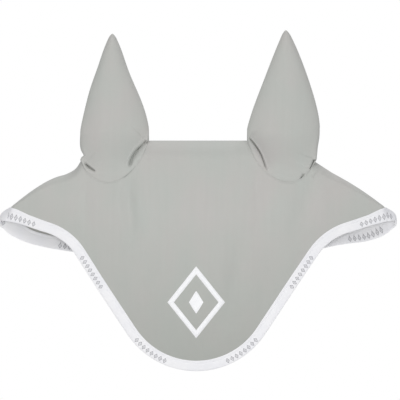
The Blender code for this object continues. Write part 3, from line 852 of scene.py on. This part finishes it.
def shade_as(piece, whole):
    """Gives a piece the whole sleeve's normals beside the cut at the ring, so no line shows."""
    tree = KDTree(len(whole.data.vertices))
    for vertex in whole.data.vertices:
        tree.insert(vertex.co, vertex.index)
    tree.balance()
    normals = []
    for vertex in piece.data.vertices:
        _, index, distance = tree.find(vertex.co)
        normal = whole.data.vertices[index].normal
        beside = abs(vertex.co.z - RING_Z) < 0.006 and distance < EAR_CLOTH
        way = 1 if (vertex.co - whole.data.vertices[index].co).dot(normal) > 0 else -1
        normals.append(normal * way if beside else Vector())
    piece.data.normals_split_custom_set_from_vertices(normals)


def make_ear(side_name, hand):
    """The two pieces of one ear: its foot and its cover."""
    sleeve = new_object(side_name + "_ear_sleeve", ear_bmesh(hand), CLOTH_MATERIAL)
    sleeve.data.materials.append(CLOTH_MATERIAL)
    subdivide(sleeve, 2)
    places, _ = points_of(sleeve)
    set_points(sleeve, creased(places, hand))
    pieces = []
    for index, part in enumerate(("foot", "cover")):
        bm = bmesh.new()
        bm.from_mesh(sleeve.data)
        unwanted = [f for f in bm.faces if f.material_index != index]
        bmesh.ops.delete(bm, geom=unwanted, context="FACES")
        for face in bm.faces:
            face.material_index = 0
        piece = new_object(f"{side_name}_ear_{part}_cloth", bm, CLOTH_MATERIAL)
        solidify(piece, EAR_CLOTH)
        shade_as(piece, sleeve)
        pieces.append(piece)
    bpy.data.objects.remove(sleeve, do_unlink=True)
    return pieces


# ---- Binding ----

STITCH, STITCH_GAP = 0.0026, 0.0009

HEM_COLUMNS = 180
NOSE_FRAMES = 22
NOSE_TOP, NOSE_LOW = -0.0975, -0.1035  # heights of the tape's edges at a wing's nose
MM = 0.001
INNER_FLAP = 3.2  # mm by which the tape's inner half is wider on the neck hem
INNER_LOW = 3.6  # mm below the tape's edge, where that extra width ends
INNER_U = 0.047  # keeps the marks of the tape's inner half apart from the outer's

# Section of the folded tape: mm out of the cloth, mm below the tape's upper edge
TAPE_SECTION = [
    (0.78, -0.9), (1.15, -1.15), (1.38, -0.8), (1.46, 0.6), (1.36, 1.7), (1.12, 2.3), (1.12, 2.8),
    (1.40, 3.4), (1.55, 5.0), (1.58, 7.5), (1.52, 10.0), (1.32, 11.9), (0.85, 13.0), (0.0, 13.3),
]
# Shape of a stitch: share of its length, thickness, and how far it stands out, in its radius
STITCH_SHAPE = ((0.0, 0.35, -0.6), (0.18, 0.9, 0.25), (0.5, 1.0, 0.5), (0.82, 0.9, 0.25),
                (1.0, 0.35, -0.6))
STITCH_SIDES = 6


def bezier(points, t):
    a, b, c, d = points
    s = 1 - t
    return a * s ** 3 + b * 3 * s * s * t + c * 3 * s * t * t + d * t ** 3


def hem_frame(x, side):
    """Upper edge, lower edge and outward normal of the binding in column x."""
    edge, normal = on_hood(x, hem_z(x, side), side)
    lower = on_hood(*tape_low(x, side), side)[0]
    return edge + (lower - edge).normalized() * SEAM_GAP, lower, normal


def hem_loop():
    """Frames of the binding all the way round the hem."""
    places = spread(-WING_END, WING_END, HEM_COLUMNS)
    loop = [hem_frame(x, FRONT) for x in places]
    loop += wing_frames(1)
    loop += [hem_frame(x, BACK) for x in reversed(places)]
    loop += wing_frames(-1)[::-1]
    return loop


def wing_frames(hand):
    """Frames round one wing's tip, where the tape is pinched to a low nose."""
    ends = [[], []]
    for side in (FRONT, BACK):
        near, far = hem_frame(WING_END - 0.004, side), hem_frame(WING_END, side)
        for level in (0, 1):
            heading = far[level] - near[level]
            heading.z = 0
            ends[level].append((far[level], heading.normalized()))
    edges = []
    for (start, out), (finish, back) in ends:
        gap = HALF_WIDTH - BINDING_THICKNESS / 2 - (start.x + finish.x) / 2
        pull = gap / (0.375 * (out.x + back.x))
        edges.append((start, start + out * pull, finish + back * pull, finish))
    made = []
    for t in spread(0.0, 1.0, NOSE_FRAMES + 2)[1:-1]:
        upper, lower = (bezier(edge, t) for edge in edges)
        near = 1 - abs(2 * t - 1)
        first = t < 0.5
        for point, edge, nose, power in ((upper, edges[0], NOSE_TOP, 1.15),
                                         (lower, edges[1], NOSE_LOW, 1.6)):
            point.z = (edge[0] if first else edge[3]).z * (1 - near ** power) + nose * near ** power
        ahead = bezier(edges[1], t + 0.01) - bezier(edges[1], t - 0.01)
        normal = Vector((0, 0, -1)).cross(ahead).normalized()
        made.append(tuple(Vector((p.x * hand, p.y, p.z)) for p in (upper, lower, normal)))
    return made


def make_binding():
    """Folded tape round the whole hem, one closed loop."""
    loop = hem_loop()
    section = TAPE_SECTION + [(-n, d) for n, d in reversed(TAPE_SECTION[:-1])]
    bm, uv = start_mesh()
    rings, lengths, length, last = [], [], 0.0, None
    for upper, lower, normal in loop:
        middle = (upper + lower) / 2
        if last is not None:
            length += (middle - last).length
        last = middle
        lengths.append(length)
        down = (lower - upper).normalized()
        scale = (lower - upper).length / BINDING_WIDTH
        puff = 0.00010 * sin(length * 260) + 0.00016 * noise.noise((length * 40, 0, 0))
        flap = INNER_FLAP * smooth(0.0, 0.006, middle.y)
        flap *= smooth(WING_END, WING_END - 0.012, abs(middle.x))
        ring = []
        for out, below in section:
            if out < 0 and below < INNER_LOW:
                below -= flap
            swell = puff * sin(pi * min(1.0, max(0.0, below / 13)))
            swell *= 1 if out > 0 else -1
            ring.append(bm.verts.new(upper + down * (below * MM * scale)
                                     + normal * (out * MM + swell)))
        rings.append(ring)
    count, wide = len(rings), len(section)
    half = (lengths[HEM_COLUMNS // 2 - 1] + lengths[HEM_COLUMNS // 2]) / 2
    lengths = [length - half for length in lengths]
    length -= half
    lengths.append(length + (loop[0][0] - loop[-1][0]).length)
    for i in range(count):
        j = (i + 1) % count
        for k in range(wide):
            m = (k + 1) % wide
            offset = INNER_U if len(TAPE_SECTION) - 1 <= k < wide - 1 else 0.0
            face = bm.faces.new((rings[i][k], rings[j][k], rings[j][m], rings[i][m]))
            for corner, (a, b) in zip(face.loops, ((i, k), (i + 1, k), (i + 1, m), (i, m))):
                corner[uv].uv = (lengths[a] + offset, section[b][1] * MM)
    tape = new_solid("hem_binding_tape", bm, TAPE_MATERIAL)
    subdivide(tape, 1)
    set_points(tape, warped(points_of(tape)[0]))
    return tape, loop


def stitch(bm, uv, start, end, normal, radius):
    """One short raised stitch: a small six-sided bead that dips in at both ends."""
    along = end - start
    across = along.cross(normal).normalized()
    rings = []
    angles = [tau * k / STITCH_SIDES for k in range(STITCH_SIDES)]
    for t, size, lift in STITCH_SHAPE:
        centre = start + along * t + normal * (radius * lift)
        rings.append([bm.verts.new(centre + (across * cos(a) + normal * sin(a))
                                   * radius * size) for a in angles])
    skin(bm, uv, rings, lambda p: (p.x + p.y, p.z), closed=True)
    bm.faces.new(rings[0][::-1])
    bm.faces.new(rings[-1])


def stitch_rows(name, routes, radius, material):
    """Rows of stitches, each along a route of (point, normal)."""
    bm, uv = start_mesh()
    for route in routes:
        points, normals = (np.array([frame[k] for frame in route]) for k in (0, 1))
        steps = np.linalg.norm(np.diff(points, axis=0), axis=1)
        along = np.concatenate([[0], np.cumsum(steps)])

        def at(rows, distance):
            return Vector([np.interp(distance, along, rows[:, k]) for k in range(3)])

        for start in np.arange(0, along[-1] - STITCH, STITCH + STITCH_GAP):
            stitch(bm, uv, at(points, start), at(points, start + STITCH),
                   at(normals, start).normalized(), radius)
    return new_solid(name, bm, material)


def ear_seams(side_name, hand, find):
    """Thread of one ear's seams: up both edges of its cover, and along the sewn line below it."""
    levels = spread(RING_Z + 0.002, EAR_TIP_Z - 0.003, 80)
    edges = []
    for angle, out in ((0.0, hand), (pi, -hand)):
        line = [cover_point(angle, z) for z in levels]
        places = creased(np.array([(p.x * hand, p.y, p.z) for p in line]), hand)
        aside = Vector((out * EAR_CLOTH * 0.3, 0, 0))
        edges.append([(Vector(p) + aside, Vector((out, 0, 0))) for p in places])
    columns = [EAR_MIDDLE - (EAR_FOOT_WIDTH / 2 - 0.003) * cos(pi * i / 48)
               for i in range(49)]
    line = np.array([on_hood(x, ear_seam_z(x) - 0.0017, FRONT)[0] for x in columns])
    sewn = []
    for x, _, z in warped(line * (hand, 1, 1)):
        place, normal = find(x, z)
        sewn.append((place + normal * CLOTH * 0.55, normal))
    return (stitch_rows(side_name + "_ear_edge_stitches", edges, EDGE_THREAD, GREY_THREAD),
            stitch_rows(side_name + "_ear_foot_stitches", [sewn], FOOT_THREAD, GREY_THREAD))


# ---- Badge ----

def surface_finder(obj):
    """Gives the front surface of a piece and its normal at a place of the front view."""
    bm = bmesh.new()
    bm.from_mesh(obj.data)
    tree = BVHTree.FromBMesh(bm)
    bm.free()

    def find(x, z):
        place, normal, _, _ = tree.ray_cast(Vector((x, -0.2, z)), Vector((0, 1, 0)))
        return place, -normal if normal.y > 0 else normal
    return find


SATIN_PITCH, SATIN_HEIGHT, CORE_HEIGHT = 0.0011, 0.0016, 0.0015
ROWS_PER_STITCH = 4
SATIN_ROOT = 0.0004  # the stitches start this far under the cloth's surface
SATIN_RIDGE = 0.00016  # and stand this much higher along their middles


def satin_rows(bm, uv, find, count, wide, spot, crown, height):
    """Rows of satin stitches; spot gives a place of the front view and crown how high the
    stitches stand there, both from the shares along and across."""
    rows = []
    for i in range(count + 1):
        valley = 0.5 - 0.5 * cos(tau * i / ROWS_PER_STITCH)
        row = []
        for k in range(wide + 1):
            place, normal = find(*spot(i / count, k / wide))
            full = crown(i / count, k / wide)
            lift = -SATIN_ROOT + (height + SATIN_ROOT - SATIN_RIDGE * valley) * full
            row.append(bm.verts.new(place + normal * lift))
        rows.append(row)
    skin(bm, uv, rows, front_view)
    return rows


def satin_bar(bm, uv, find, corners):
    """Raised band of satin stitches between two edges, each edge a pair of places (x, z)."""
    (a0, a1), (b0, b1) = np.array(corners)
    length = max(np.hypot(*(a1 - a0)), np.hypot(*(b1 - b0)))
    count = max(8, int(length / SATIN_PITCH) * ROWS_PER_STITCH)

    def spot(t, s):
        left, right = a0 + (a1 - a0) * t, b0 + (b1 - b0) * t
        return left + (right - left) * s

    rows = satin_rows(bm, uv, find, count, 9, spot,
                      lambda t, s: sin(pi * s) ** 0.45, SATIN_HEIGHT)
    for edge in (rows[0], rows[-1]):
        low = [bm.verts.new(v.co + Vector((0, 0.0012, 0))) for v in edge]
        for k in range(len(edge) - 1):
            bm.faces.new((edge[k], edge[k + 1], low[k + 1], low[k]))


def make_badge(find):
    """Lozenge outline and a small lozenge inside it, both in raised white satin stitch."""
    centre_z = CREST - BADGE_DROP
    square = BADGE_HALF_WIDTH * BADGE_HALF_HEIGHT / hypot(BADGE_HALF_WIDTH, BADGE_HALF_HEIGHT)
    inner = 1 - BADGE_STROKE / square

    def place(u, v, share):
        return u * share * BADGE_HALF_WIDTH - SWING, centre_z + v * share * BADGE_HALF_HEIGHT

    bm, uv = start_mesh()
    turns = [(0, 1), (1, 0), (0, -1), (-1, 0)]
    for start, end in zip(turns, turns[1:] + turns[:1]):
        edges = [(place(*start, share), place(*end, share)) for share in (1, inner)]
        satin_bar(bm, uv, find, edges)
    outline = new_solid("badge_outline_satin", bm, SATIN)
    bm, uv = start_mesh()

    def core_spot(t, s):
        v = -1 + 2 * t
        return place((2 * s - 1) * max(0.02, 1 - abs(v)), v, inner * BADGE_CORE)

    def core_crown(t, s):
        end = 1 - abs(2 * t - 1)
        if end <= 0 or not 0 < s < 1:
            return 0.0
        return (sin(pi * s) * sin(pi * min(0.5, end * 1.6))) ** 0.5

    satin_rows(bm, uv, find, 84, 12, core_spot, core_crown, CORE_HEIGHT)
    return [outline, new_solid("badge_core_satin", bm, SATIN)]


# ---- Poll tape ----

def make_poll_tape():
    """Flat woven tape inside the fold, with rounded edges."""
    section = [(-1.0, 0.5), (-0.985, 0.85), (-0.93, 1.0), (-0.5, 0.97), (0.0, 0.96), (0.5, 0.97),
               (0.93, 1.0), (0.985, 0.85), (1.0, 0.5), (0.985, 0.15), (0.93, 0.0), (0.5, 0.0),
               (0.0, 0.0), (-0.5, 0.0), (-0.93, 0.0), (-0.985, 0.15)]
    bm, uv = start_mesh()
    rings = []
    for x in spread(-TAPE_HALF_LENGTH, TAPE_HALF_LENGTH, 57):
        narrow = 1 - 0.06 * smooth(TAPE_HALF_LENGTH - 0.002, TAPE_HALF_LENGTH, abs(x))
        rings.append([bm.verts.new((x, y * TAPE_HALF_WIDTH * narrow, t * TAPE_THICKNESS))
                      for y, t in section])
    skin(bm, uv, rings, lambda p: (p.x + 0.05, p.y + 0.03), closed=True)
    bm.faces.new(rings[0])
    bm.faces.new(rings[-1][::-1])
    return new_solid("poll_tape_woven", bm, TAPE_MATERIAL)


# ---- Build ----

STITCH_LOW, STITCH_OUT = 0.00255, 0.00118  # the hem's stitches: below the tape's edge, and out
HEM_THREAD, EDGE_THREAD, FOOT_THREAD = 0.00027, 0.00026, 0.00024  # radii


def build():
    hood = make_hood()
    find = surface_finder(hood)
    badge = make_badge(find)
    solidify(hood, CLOTH)
    binding, loop = make_binding()
    tape = make_poll_tape()
    rows = []
    for name, out in (("hem_stitches_outside", 1), ("hem_stitches_inside", -1)):
        route = []
        for upper, lower, normal in loop + loop[:1]:
            down = (lower - upper).normalized()
            route.append((upper + down * STITCH_LOW + normal * (out * STITCH_OUT), normal * out))
        row = stitch_rows(name, [route], HEM_THREAD, SEWING)
        set_points(row, warped(points_of(row)[0]))
        rows.append(row)
    ears = {}
    for side_name, hand in (("left", 1), ("right", -1)):
        ears[side_name] = (*make_ear(side_name, hand), *ear_seams(side_name, hand, find))

    for piece in (hood, binding, *rows):
        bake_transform(piece)
    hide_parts("left_front_panel", "right_front_panel",
                "left_back_panel", "right_back_panel")
    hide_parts("front_binding", "back_binding", "left_wing_binding", "right_wing_binding")
    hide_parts("front_binding_stitch", "back_binding_stitch")
    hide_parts("badge_frame")
    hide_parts("badge_core")
    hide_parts("poll_tape")
    for piece in (*badge, tape):
        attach(piece, "root")
    for side_name, hand in (("left", 1), ("right", -1)):
        foot, cover, edge, sewn = ears[side_name]
        middle = Vector((EAR_MIDDLE * hand, 0, crest_z(EAR_MIDDLE)))
        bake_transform(foot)
        for piece in (cover, edge):
            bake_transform(piece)
        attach(sewn, "root")
        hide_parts(side_name + "_ear_base")
        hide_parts(side_name + "_ear_base_seam")
        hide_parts(side_name + "_ear_front", side_name + "_ear_back")
        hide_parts(side_name + "_ear_seam")
    return hood, binding, rows, badge, tape, ears


def declare(hood, binding, rows, badge, tape, ears):
    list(rows)
    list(badge)
    for side_name in ("left", "right"):
        foot, cover, edge, sewn = ears[side_name]


def area_light(name, place, target, size, power, colour):
    data = bpy.data.lights.new(name, "AREA")
    data.shape = "RECTANGLE"
    data.size, data.size_y = size
    data.energy = power
    data.color = colour
    made = add_object(name, data)
    made.location = place
    made.rotation_euler = (Vector(target) - Vector(place)).to_track_quat("-Z", "Y").to_euler()
    made.visible_camera = False


# Name, place, target, size, power in watts, colour
LIGHTS = (
    ("key", (-0.7, -1.9, 1.5), (0, 0, -0.06), (1.3, 1.3), 12, (1.0, 0.995, 0.98)),
    ("fill", (1.5, -1.7, 0.2), (0, 0, -0.06), (1.2, 1.4), 2, (0.97, 0.98, 1.0)),
    ("front", (0, -3.0, -0.09), (0, 0, -0.07), (0.7, 0.6), 34, (1.0, 1.0, 1.0)),
    ("low", (-0.2, -2.1, -1.3), (0, 0, -0.10), (1.6, 0.9), 2.5, (0.98, 0.98, 1.0)),
    ("top", (0.2, 0.9, 1.7), (0, 0, -0.05), (1.4, 0.9), 17, (1, 1, 1)),
)
WORLD_LIGHT = 0.42
FLOOR_Z, FLOOR_RADIUS = -0.46, 1.3
SENSOR = 36  # mm
CAMERA_DISTANCE, CAMERA_WIDTH = 4.0, 0.540  # it frames this width at the bonnet
CAMERA_PLACE = (0.0027, -CAMERA_DISTANCE, -0.0759)


def studio():
    """White surroundings, soft lights, a pale floor under the bonnet, and the camera."""
    scene = bpy.context.scene
    scene.view_settings.view_transform = "Standard"
    scene.view_settings.look = "None"
    world = bpy.data.worlds.new("studio")
    scene.world = world
    world.use_nodes = True
    tree = world.node_tree
    tree.nodes.clear()
    output, mixer, rays, lighting, seen = (tree.nodes.new("ShaderNode" + kind) for kind in (
        "OutputWorld", "MixShader", "LightPath", "Background", "Background"))
    lighting.inputs[0].default_value = (0.97, 0.98, 1.0, 1)
    lighting.inputs[1].default_value = WORLD_LIGHT
    seen.inputs[0].default_value = (1, 1, 1, 1)
    seen.inputs[1].default_value = 1.0
    for index, node in enumerate((rays, lighting, seen)):
        tree.links.new(node.outputs[0], mixer.inputs[index])
    tree.links.new(mixer.outputs[0], output.inputs[0])
    for light in LIGHTS:
        area_light(*light)
    bm = bmesh.new()
    bmesh.ops.create_circle(bm, cap_ends=True, radius=FLOOR_RADIUS, segments=96)
    n = Nodes("pale_floor")
    place = n.add("ShaderNodeTexCoord").outputs["Object"]
    tone = n.ramp(n.noise(place, 3.0), [(0.3, (0.80, 0.80, 0.80)), (0.7, (0.84, 0.84, 0.84))])
    n.link(tone, n.shader, "Base Color")
    n.link(0.7, n.shader, "Roughness")
    floor = new_object("floor", bm, n.material)
    floor.location.z = FLOOR_Z
    data = bpy.data.cameras.new("camera")
    data.sensor_width = SENSOR
    data.lens = SENSOR * CAMERA_DISTANCE / CAMERA_WIDTH
    data.clip_end = 50
    camera = add_object("camera", data)
    camera.location = CAMERA_PLACE
    camera.rotation_euler = (pi / 2, 0, 0)
    scene.camera = camera


studio()
declare(*build())
